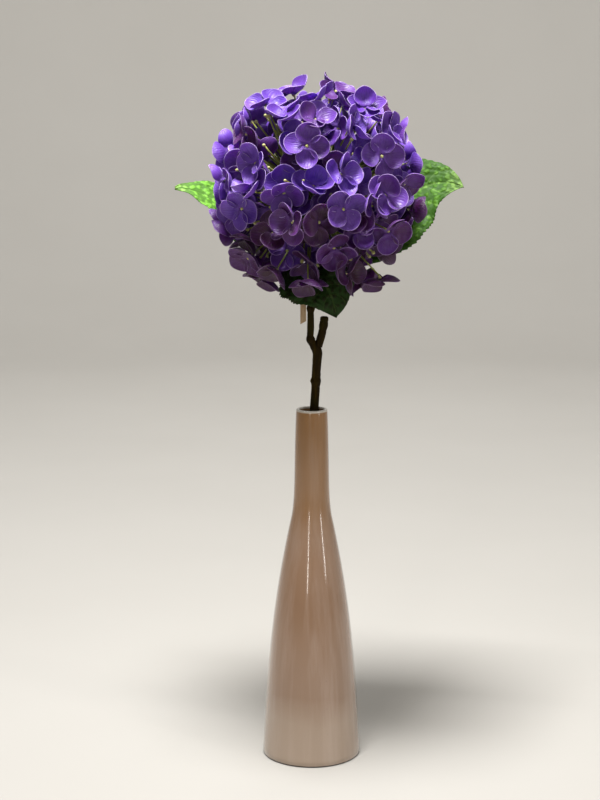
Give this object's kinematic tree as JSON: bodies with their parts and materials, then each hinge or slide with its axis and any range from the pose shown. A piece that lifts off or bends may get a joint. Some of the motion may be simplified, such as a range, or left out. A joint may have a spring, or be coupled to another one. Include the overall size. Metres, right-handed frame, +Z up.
{
  "type": "single artificial hydrangea stem in a bottle vase",
  "caption": "Tall tapered glazed bottle vase holding a leafy artificial stem with a round head of violet four-petalled florets.",
  "frame": {"origin": "middle of the vase's foot, on the surface it stands on", "axes": "+Z up, -Y towards the front, +X to the right seen from the front"},
  "size_m": [0.2754, 0.203, 0.65],
  "materials": {
    "vase_glaze": "glossy dusty pink-beige glaze with a cream lip",
    "stem_plastic": "satin olive-brown moulded plastic with nodes",
    "spray_plastic": "satin pale green moulded plastic",
    "leaf_cloth": "coated cloth pressed with veins, semi-gloss",
    "petal_cloth": "satin cloth pressed with fine veins, violet to plum with pale edges",
    "kraft_paper": "plain matt brown paper"
  },
  "bodies": {
    "root": {"vase": "vase_glaze", "stem": "stem_plastic", "flower_spray": "spray_plastic", "leaf_right": "leaf_cloth", "leaf_left": "leaf_cloth", "leaf_front": "leaf_cloth", "paper_label": "kraft_paper", "floret_01": "petal_cloth", "floret_02": "petal_cloth", "floret_03": "petal_cloth", "floret_04": "petal_cloth", "floret_05": "petal_cloth", "floret_06": "petal_cloth", "floret_07": "petal_cloth", "floret_08": "petal_cloth", "floret_09": "petal_cloth", "floret_10": "petal_cloth", "floret_11": "petal_cloth", "floret_12": "petal_cloth", "floret_13": "petal_cloth", "floret_14": "petal_cloth", "floret_15": "petal_cloth", "floret_16": "petal_cloth", "floret_17": "petal_cloth", "floret_18": "petal_cloth", "floret_19": "petal_cloth", "floret_20": "petal_cloth", "floret_21": "petal_cloth", "floret_22": "petal_cloth", "floret_23": "petal_cloth", "floret_24": "petal_cloth", "floret_25": "petal_cloth", "floret_26": "petal_cloth", "floret_27": "petal_cloth", "floret_28": "petal_cloth", "floret_29": "petal_cloth", "floret_30": "petal_cloth", "floret_31": "petal_cloth", "floret_32": "petal_cloth", "floret_33": "petal_cloth", "floret_34": "petal_cloth", "floret_35": "petal_cloth", "floret_36": "petal_cloth", "floret_37": "petal_cloth", "floret_38": "petal_cloth", "floret_39": "petal_cloth", "floret_40": "petal_cloth", "floret_41": "petal_cloth", "floret_42": "petal_cloth", "floret_43": "petal_cloth", "floret_44": "petal_cloth", "floret_45": "petal_cloth", "floret_46": "petal_cloth", "floret_47": "petal_cloth", "floret_48": "petal_cloth", "floret_49": "petal_cloth", "floret_50": "petal_cloth", "floret_51": "petal_cloth", "floret_52": "petal_cloth"}
  },
  "joints": []
}
